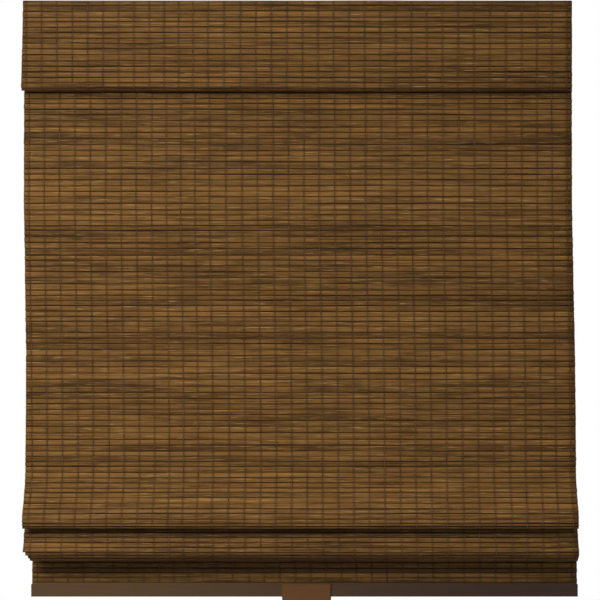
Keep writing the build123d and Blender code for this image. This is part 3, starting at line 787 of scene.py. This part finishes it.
# %% Bamboo
def bamboo_finish():
    """The stain's tone is a weighted sum of the grains. Dark and pale marks, some of them painted
    shade, are laid over it.
    """
    finish = Finish("stained_bamboo")
    along, across, number = finish.attribute("slat")

    def grain(lengthwise, jump, crosswise, detail=2.0, rough=0.5):
        """Noise at (along * lengthwise, number * jump, across * crosswise)."""
        place = finish.join(along * lengthwise, number * jump, across * crosswise)
        return finish.noise(place, 1.0, detail, rough)

    slat_chance = finish.chance(finish.join(number, 3.1, 0.7))
    group = finish.noise(finish.join(number * 0.42, along * 0.7, 0.0), 1.0, 2.0, 0.6)
    drift = grain(3.6, 7.7, 0.0, 3.0, 0.6)
    patch = grain(24.0, 3.9, 130.0)
    streak = grain(10.0, 5.3, 700.0, 2.0, 0.6)
    fibre = grain(75.0, 2.9, 2600.0, 3.0, 0.65)
    hue = grain(8.0, 4.3, 110.0)
    pale = grain(26.0, 8.1, 900.0, 1.0)
    smudge = grain(38.0, 6.7, 240.0)
    joint_at = grain(4.0, 31.7, 0.0, 0.0)

    to_yarn = ((along * (1 / thread_pitch)).fraction() - 0.5).size()
    # Painted shade of the gaps between slats, with the stain gathered there: both edges of each
    # slat.
    edge_stain_and_shade = across.size().step(0.0036, 0.0047)
    # Painted shade on the slats of the lower fold's underside.
    fold_shade = (number - fold_shade_middle).size().step(2.2, 0.9)
    # Painted shadow of the lower fold on the tail's slats.
    fold_shadow = (number - fold_shadow_slat).size().step(1.3, 0.5)
    joint = (joint_at - 0.62).size().step(0.004, 0.0)

    light = slat_chance * 0.30 + group * 0.66 + drift * 0.62
    light = light + patch * 0.50 + streak * 1.30 + fibre * 0.70
    light = (light - darkest_sum).step(0.0, 1.0)
    warmth = hue.step(0.34, 0.74)
    base = finish.mix(light, finish.mix(warmth, *DARK), finish.mix(warmth, *TAN))
    # Where each mark lies, how strong it is and its colour.
    marks = (
        (pale.step(0.62, 0.76), 0.65, PALE_FIBRE),
        (smudge.step(0.66, 0.80), 0.45, SMUDGE),
        # Painted shade of the gaps, with gathered stain, along the slat edges.
        (edge_stain_and_shade, 0.40, EDGE_STAIN_AND_SHADE),
        # Painted shade under the lower fold.
        (fold_shade, 0.40, FOLD_SHADE_TONE),
        # Painted shadow of the fold on the tail.
        (fold_shadow, 0.50, FOLD_SHADOW_TONE),
        # Painted shade in a soft band beside each yarn column.
        (to_yarn.step(0.17, 0.02), 0.32, YARN_SHADE_TONE),
        (joint * streak.step(0.45, 0.7), 0.5, CANE_JOINT),
    )
    for where, share, tone in marks:
        base = finish.mix(where * share, base, tone)

    height = fibre * 0.5 + streak * 0.5 + joint * 0.6
    rough = 0.52 + fibre * 0.16
    return finish.surface(base, rough, height, 0.00022, Specular_IOR_Level=0.07)


bamboo = bamboo_finish()
weaves = (panel_weave, stack_weave, valance_weave)
for piece in weaves:
    piece.data.materials.append(bamboo)
print("bamboo finish on", len(weaves), "pieces")

# %% [markdown]
# ## The yarn and web finishes
#
# The yarn is two plies of brown cotton. Its twist is a slanting wave round the oval, and the fuzz
# is a fine noise. The web is the same yarn laid close, coloured darker than the yarn as painted
# shade in its gap.

# %% Yarn and web
# The twist is in radians for each slat that the yarn passes.
twist_per_slat = 40.0
plies = 2.0


def yarn_finish():
    """Two plies are a sine of the turn round the oval, which moves on along the yarn."""
    finish = Finish("brown_yarn")
    turn, along, column = finish.attribute("twist")
    ply = ((turn + along * twist_per_slat) * plies).sine() * 0.5 + 0.5
    fuzz = finish.noise(finish.place(), 1400.0, 2.0)
    tone = finish.chance(finish.join(along.floor(), column, 1.0))
    base = finish.mix(tone * 0.9 + fuzz * 0.4 - 0.15, (68, 46, 25), (110, 78, 45))
    return finish.surface(base, 0.85, ply + fuzz * 0.6, 0.00010, Specular_IOR_Level=0.1)


def web_finish():
    """Upright ribs are a sine of x, with a fuzz of noise between them."""
    finish = Finish("brown_web")
    x, y, z = finish.parts(finish.place())
    rib = (x * 5200.0).sine()
    fuzz = finish.noise(finish.join(x * 900.0, y * 300.0, z * 300.0), 1.0, 2.0)
    # Painted shade: the web is coloured far darker than the yarn, as the gaps are shaded.
    base = finish.mix(fuzz, (34, 20, 8), (50, 30, 13))
    return finish.surface(base, 0.9, rib + fuzz, 0.00008, Specular_IOR_Level=0.08)


yarn = yarn_finish()
web = web_finish()
panel_yarns = (panel_yarn, panel_yarn_back)
stack_yarns = (stack_yarn, stack_yarn_back)
valance_yarns = (valance_yarn, valance_yarn_back)
yarn_pieces = (*panel_yarns, *stack_yarns, *valance_yarns)
for piece in yarn_pieces:
    piece.data.materials.append(yarn)
for piece in (panel_web, stack_web, valance_web):
    piece.data.materials.append(web)
print("yarn finish on", len(yarn_pieces), "pieces")

# %% [markdown]
# ## Lift-cord rings
#
# Small clear rings are tied to the back of the mat. A ring is a circle of small circles, and all
# of them are one block of numbers. They are made again here because they ride up with the panel.

# %% Rings on the back of the panel
ring_low, ring_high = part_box("panel_rings")
ring_radius = 0.006
ring_wire = 0.0008


def ring_skin(name, centres, rounds=40, sides=10):
    """A ring at each centre: (R + r cos b) cos a, (R + r cos b) sin a and r sin b, lying flat."""
    a = np.linspace(0, 2 * math.pi, rounds, endpoint=False)[None, :, None]
    b = np.linspace(0, 2 * math.pi, sides, endpoint=False)[None, None, :]
    reach = ring_radius - ring_wire + ring_wire * np.cos(b)
    shape = np.broadcast_arrays(reach * np.cos(a), reach * np.sin(a), ring_wire * np.sin(b))
    rings = centres[:, None, None, :] + np.stack(shape, axis=-1)
    number = np.arange(rings[..., 0].size).reshape(rings.shape[:3])
    ahead = np.roll(number, -1, axis=1)
    corners = [number, ahead, np.roll(ahead, -1, axis=2), np.roll(number, -1, axis=2)]
    quads = np.stack(corners, axis=-1)
    mesh = bpy.data.meshes.new(name)
    mesh.from_pydata(rings.reshape(-1, 3).tolist(), [], quads.reshape(-1, 4).tolist())
    mesh.polygons.foreach_set("use_smooth", np.ones(len(mesh.polygons), dtype=bool))
    piece = bpy.data.objects.new(name, mesh)
    bpy.context.scene.collection.objects.link(piece)
    return piece


ring_rows = 3
ring_z = np.linspace(ring_high.z - ring_wire, ring_low.z + ring_wire, ring_rows)
ring_y = np.linspace(ring_high.y - ring_radius, ring_low.y + ring_radius, ring_rows)
ring_x = (ring_low.x + ring_radius, ring_high.x - ring_radius)
ring_centres = np.array([(x, y, z) for y, z in zip(ring_y, ring_z) for x in ring_x])
ring_set = ring_skin("panel_ring_set", ring_centres)
print(len(ring_centres), "rings")

# %% [markdown]
# ## Woods, metals and plastics
#
# The headrail, the rail, the handle and the works behind the valance keep their measured shapes
# and only need finishes. Wood is a noise drawn out along the board, so that it reads as grain.
# The rail's wood is painted darker towards its right end, as shade.
# Zinc is metal with faint brushed scratches, and the moulded plastics have a fine grain.

# %% Wood
def wood_finish(name, tones, stretch, scale, roughness, specular, depth, shaded_right_tones=None):
    """Grain along X: a noise, drawn out by stretch, mixes two tones and lifts the surface.

    Where darker right tones are given, they take over evenly towards the right end, as painted
    shade.
    """
    finish = Finish(name)
    x, y, z = finish.parts(finish.place())
    lines = finish.noise(finish.join(x * stretch, y, z), scale, 4.0, 0.62)
    broad = finish.noise(finish.join(x * stretch * 0.5, y, z), scale * 0.18, 2.0)
    pores = finish.noise(finish.join(x * stretch * 2.0, y, z), scale * 5.0, 2.0, 0.7)
    share = (lines * 0.8 + broad * 0.7 + pores * 0.3 - 0.42).step(0.0, 1.0)
    base = finish.mix(share, *tones)
    # Painted shade: the tones darken evenly towards the right end.
    if shaded_right_tones:
        toward_right = (x * 1.06 + 0.49).step(0.0, 1.0)
        base = finish.mix(toward_right, base, finish.mix(share, *shaded_right_tones))
    rough = roughness + pores * 0.12
    height = 1.0 - pores * 0.6 - lines * 0.4
    return finish.surface(base, rough, height, depth, Specular_IOR_Level=specular)


pine_tones = ((214, 178, 128), (170, 122, 74))
rail_tones = ((94, 70, 43), (80, 59, 36))
# Darker tones for the rail's right end: painted shade.
rail_shaded_right_tones = ((58, 43, 31), (46, 34, 24))
handle_tones = ((102, 67, 32), (83, 54, 25))
pine = wood_finish("planed_pine", pine_tones, 0.05, 260.0, 0.6, 0.3, 0.00012)
rail_wood = wood_finish(
    "stained_rail", rail_tones, 0.06, 300.0, 0.42, 0.12, 0.00006, rail_shaded_right_tones
)
handle_wood = wood_finish("stained_handle", handle_tones, 0.07, 320.0, 0.40, 0.12, 0.00005)
print("three woods")


# %% Metal
def metal_finish(name, light, dark, roughness):
    """Bare metal: fine scratches along X change its roughness, and a cloudy noise its tone."""
    finish = Finish(name)
    x, y, z = finish.parts(finish.place())
    scratch = finish.noise(finish.join(x * 60.0, y * 1800.0, z * 1800.0), 1.0, 2.0, 0.6)
    cloud = finish.noise(finish.place(), 180.0, 2.0)
    base = finish.mix(cloud, light, dark)
    return finish.surface(base, roughness + scratch * 0.2, scratch, 0.00003, Metallic=1.0)


zinc = metal_finish("zinc_plate", (196, 199, 204), (160, 164, 170), 0.26)
spring_steel = metal_finish("blued_spring", (96, 104, 128), (62, 66, 84), 0.24)
print("two metals")


# %% Plastic
def plastic_finish(name, light, dark, roughness, **fixed):
    """Moulded plastic: a fine grain in the surface and a barely visible change of tone."""
    finish = Finish(name)
    grain = finish.noise(finish.place(), 2600.0, 2.0, 0.6)
    cloud = finish.noise(finish.place(), 60.0, 2.0)
    base = finish.mix(cloud, light, dark)
    return finish.surface(base, roughness + grain * 0.1, grain, 0.00003, **fixed)


white_plastic = plastic_finish("white_plastic", (230, 230, 225), (216, 216, 210), 0.38)
grey_plastic = plastic_finish("grey_plastic", (98, 100, 104), (84, 86, 90), 0.42)
clear_plastic = plastic_finish(
    "clear_plastic", (238, 240, 238), (226, 230, 228), 0.10, Transmission_Weight=0.75
)
ring_set.data.materials.append(clear_plastic)
print("three plastics")

# %% Give every measured piece its finish
finishes = {
    "pine": pine,
    "rail_wood": rail_wood,
    "handle_wood": handle_wood,
    "zinc_steel": zinc,
    "spring_steel": spring_steel,
    "white_plastic": white_plastic,
    "grey_plastic": grey_plastic,
    "clear_plastic": clear_plastic,
    "bamboo": bamboo,
    "warp_yarn": yarn,
}
slot_of = {part["node"]: part["material_slot"] for part in frame["record"]["subparts"]}
for node, slot in slot_of.items():
    measured = frame["nodes"][node]
    measured.data.materials.clear()
    measured.data.materials.append(finishes[slot])
print(len(slot_of), "measured pieces finished")

# %% [markdown]
# ## What moves
#
# The valance and the panel hang from the headrail. The folds, the tail and the bottom rail rise
# together when the handle is lifted, and the panel above them gathers. A gathered mat can't be
# shown by a few moving bodies, so the panel is to shorten instead, from its top down to the
# folds, and its pieces get meshes of their own for that.

for piece in (valance_weave, valance_yarn, valance_yarn_back, valance_web):
    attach(piece, "headrail")
for piece in (stack_weave, stack_yarn, stack_yarn_back, stack_web):
    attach(piece, "rail")
for piece in (panel_weave, panel_yarn, panel_yarn_back, panel_web, ring_set):
    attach(piece, "headrail")
    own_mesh(piece)

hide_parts("valance_mat")
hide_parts("valance_threads")
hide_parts("shade_mat")
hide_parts("shade_mat")
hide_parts("warp_threads")
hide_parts("warp_threads")
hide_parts("panel_rings")

# %% The width of each woven sheet
on_panel = [panel_weave, *panel_yarns, ring_set]
on_stack = [stack_weave, *stack_yarns]
on_valance = [valance_weave, *valance_yarns]
sheets = (
    (panel_web, panel_slats, panel_sides, "hung", on_panel),
    (stack_web, stack_slats, stack_sides, "folded", on_stack),
    (valance_web, valance_slats, valance_sides, "hung", on_valance),
)
for piece, slats, sides, held, pieces_on_it in sheets:
    width = float((sides[:, 1] - sides[:, 0]).mean()) - 2 * web_inset

# %% [markdown]
# ## The studio
#
# A pale floor lies well below the shade and a pale sky fills the shadows. The camera sees the sky
# as white, and so do glossy and clear surfaces. The floor shows pale in the same way, while the
# light that it throws back up stays low, and it keeps the shade's shadow.
#
# Two lamps stand in front on the left, one above the other, and give the hem and the folds their
# two-step shadows. A weak cool lamp straight in front keeps those shadows from going black. Two
# more stand behind, so that the back and the sides can be seen too.

# %% Rays that see the background
def seen_share(add, link):
    """1 for a camera, glossy or transmission ray and 0 for the rest, in any node tree."""
    rays = add("ShaderNodeLightPath")
    share = rays.outputs["Is Camera Ray"]
    for kind in ("Is Glossy Ray", "Is Transmission Ray"):
        either = add("ShaderNodeMath")
        either.operation = "MAXIMUM"
        link(share, either.inputs[0])
        link(rays.outputs[kind], either.inputs[1])
        share = either.outputs[0]
    return share


# %% Floor
floor_z = -2.2
floor_half = 6.0
floor_glow = 0.72
floor_mesh = bpy.data.meshes.new("pale_floor")
corners = [(-1, -1), (1, -1), (1, 1), (-1, 1)]
floor_points = [(x * floor_half, y * floor_half, floor_z) for x, y in corners]
floor_mesh.from_pydata(floor_points, [], [(0, 1, 2, 3)])
floor = bpy.data.objects.new("pale_floor", floor_mesh)
bpy.context.scene.collection.objects.link(floor)
floor_finish = Finish("pale_floor")
floor_nodes = floor_finish.tree.nodes.new
floor_seen = Wire(floor_finish, seen_share(floor_nodes, floor_finish.tree.links.new))
matt = floor_finish.add("BsdfDiffuse", sockets={"Color": colour((112, 112, 110))})
pale = floor_finish.add("Emission", sockets={"Color": colour((246, 246, 245)), "Strength": 1.0})
both = floor_finish.add("MixShader", sockets={0: floor_seen * floor_glow, 1: matt, 2: pale})
floor_finish.add("OutputMaterial", sockets={"Surface": both})
floor_mesh.materials.append(floor_finish.material)
print("floor at z", floor_z)

# %% Sky
sky_tint = (0.80, 0.90, 1.15)
sky_strength = 0.23
world = bpy.data.worlds.new("studio_sky")
bpy.context.scene.world = world
world.use_nodes = True
sky = world.node_tree
sky.nodes.clear()


def background(tint, strength):
    """One even light from all around."""
    node = sky.nodes.new("ShaderNodeBackground")
    node.inputs["Color"].default_value = (*tint, 1)
    node.inputs["Strength"].default_value = strength
    return node


white = background((1, 1, 1), 1.0)
soft = background(sky_tint, sky_strength)
blend = sky.nodes.new("ShaderNodeMixShader")
sky.links.new(seen_share(sky.nodes.new, sky.links.new), blend.inputs[0])
sky.links.new(soft.outputs[0], blend.inputs[1])
sky.links.new(white.outputs[0], blend.inputs[2])
result = sky.nodes.new("ShaderNodeOutputWorld")
sky.links.new(blend.outputs[0], result.inputs["Surface"])
print("sky", sky_strength)


# %% Lamps
warm_tint = (1.0, 0.99, 0.97)
cool_tint = (0.78, 0.86, 1.15)
front_size = (0.9, 0.22)
fill_size = (3.0, 2.0)
back_size = (0.8, 0.8)
back_power = 42.0
back_aim = (0.0, 0.0, -0.45)


def soft_lamp(name, place, aim, size, power, tint=warm_tint):
    """A rectangular lamp at place that faces the point aim, its width and height in metres."""
    lamp = bpy.data.lights.new(name, "AREA")
    lamp.shape = "RECTANGLE"
    lamp.size, lamp.size_y = size
    lamp.energy = power
    lamp.color = tint
    holder = bpy.data.objects.new(name, lamp)
    holder.location = place
    toward = np.subtract(aim, place)
    turn = math.atan2(toward[1], toward[0]) - math.pi / 2
    tilt = math.atan2(toward[2], math.hypot(toward[0], toward[1]))
    holder.rotation_euler = (math.pi / 2 + tilt, 0, turn)
    bpy.context.scene.collection.objects.link(holder)


soft_lamp("low_lamp", (-1.02, -2.13, 0.42), (-0.70, -1.38, -1.79), front_size, 44.0)
soft_lamp("high_lamp", (-1.02, -2.13, 1.32), (-0.90, -1.70, -1.75), front_size, 41.0)
soft_lamp("fill_lamp", (0.3, -4.2, -0.5), (0.0, 0.0, -0.5), fill_size, 19.5, cool_tint)
soft_lamp("back_left_lamp", (-1.9, 1.9, 0.5), back_aim, back_size, back_power)
soft_lamp("back_right_lamp", (1.9, 1.9, 0.5), back_aim, back_size, back_power)
print(len(bpy.data.lights), "lamps")
